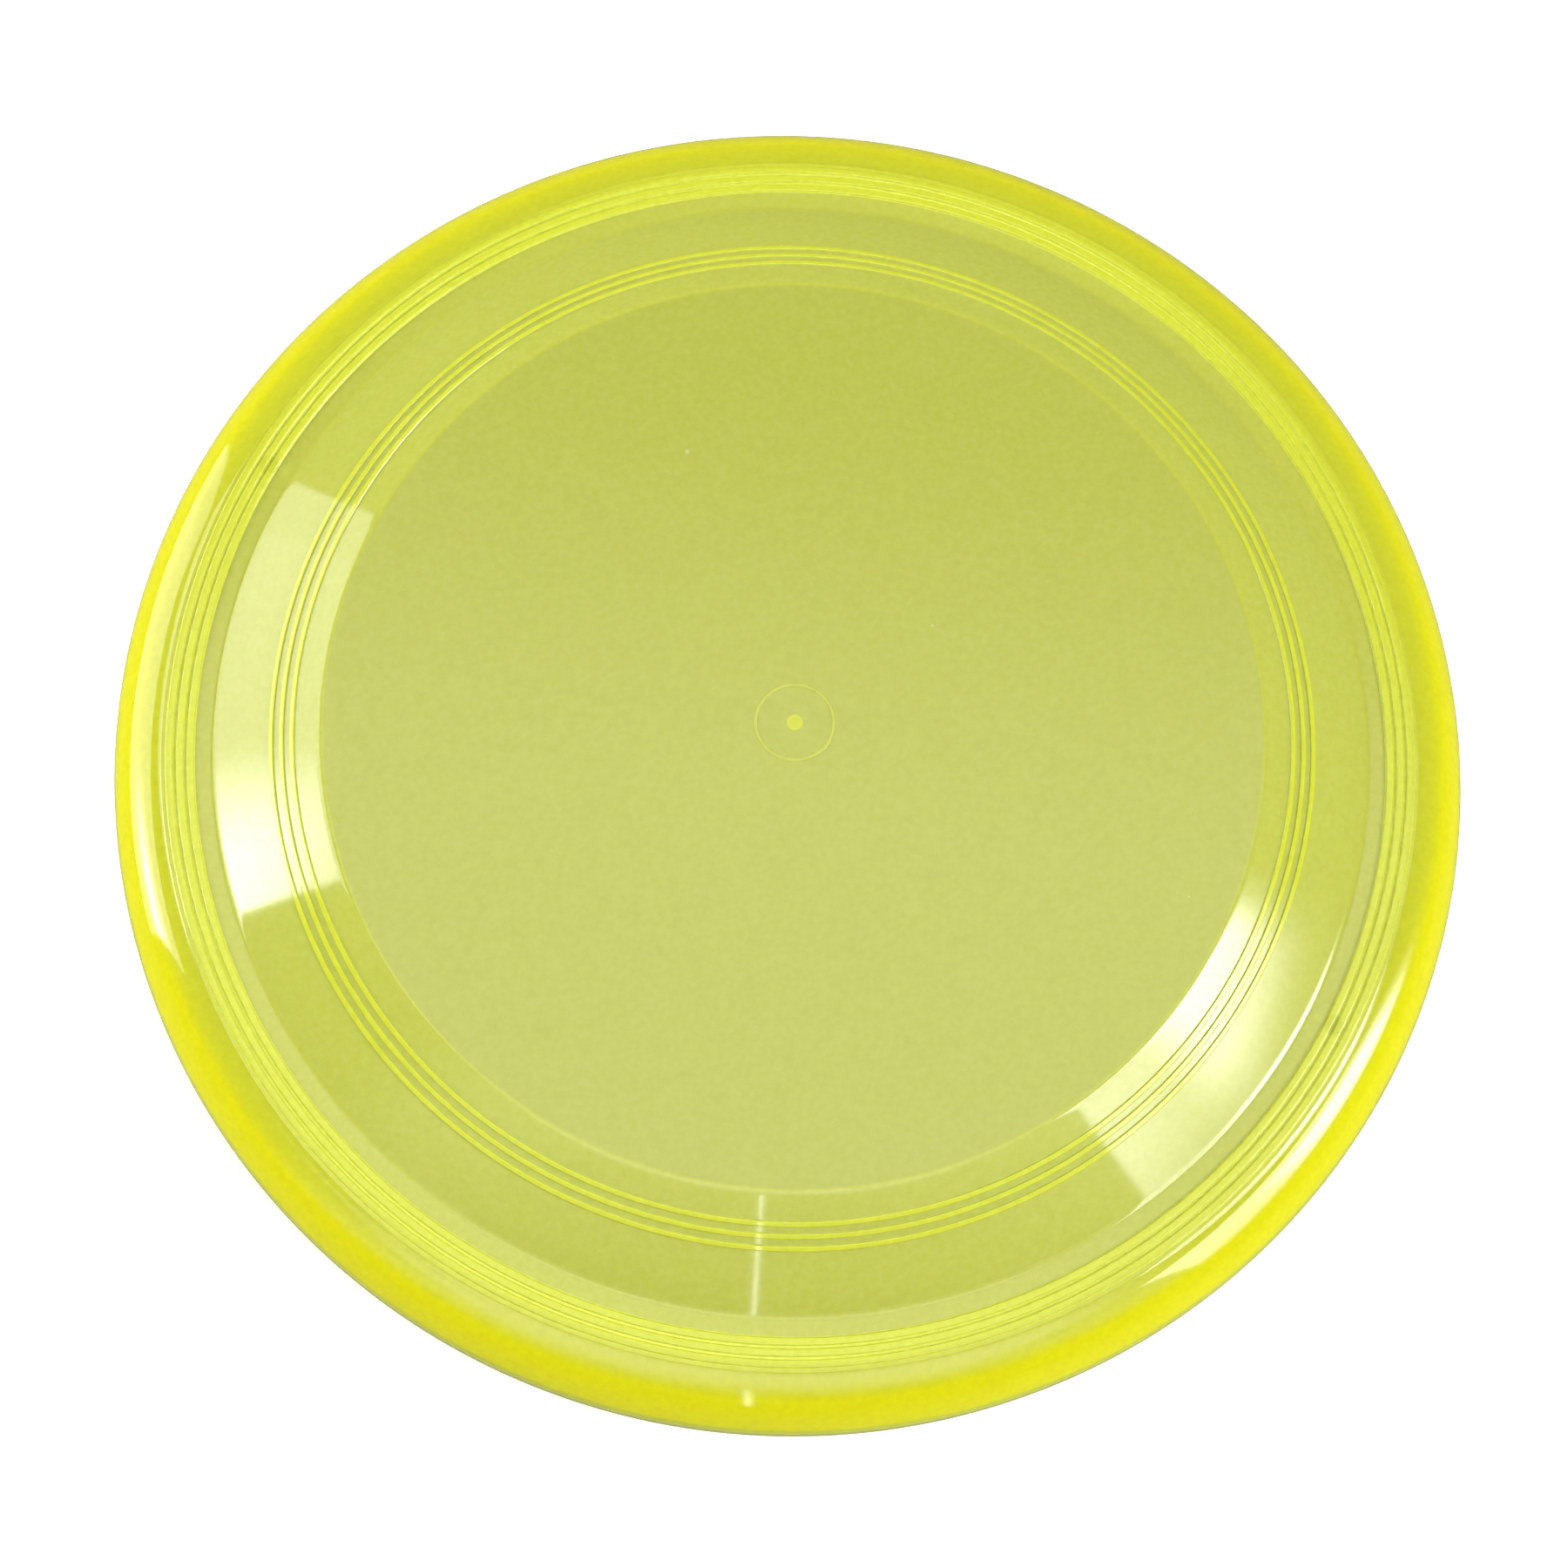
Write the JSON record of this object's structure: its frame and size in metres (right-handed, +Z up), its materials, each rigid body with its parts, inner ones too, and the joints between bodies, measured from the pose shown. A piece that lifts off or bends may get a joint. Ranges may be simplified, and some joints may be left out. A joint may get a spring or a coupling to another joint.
{
  "type": "flying disc",
  "caption": "Closed flying disc in one hazy translucent moulding: a flat plate, a ribbed cone and shoulder, and a thick rounded rim with a beaded lip.",
  "frame": {"origin": "centre of the foot ring that the disc rests on", "axes": "+Z up along the disc's axis of revolution, out of the plate; +X and +Y lie in the plane of the foot ring, and one ejector boss lies 158 degrees anticlockwise from +X"},
  "size_m": [0.22, 0.22, 0.0271],
  "materials": {
    "disc_plastic": "hazy translucent yellow-green polypropylene with a glossy skin; thick places look lemon yellow and thin places look paler"
  },
  "bodies": {
    "root": {"disc": "disc_plastic"}
  },
  "joints": []
}
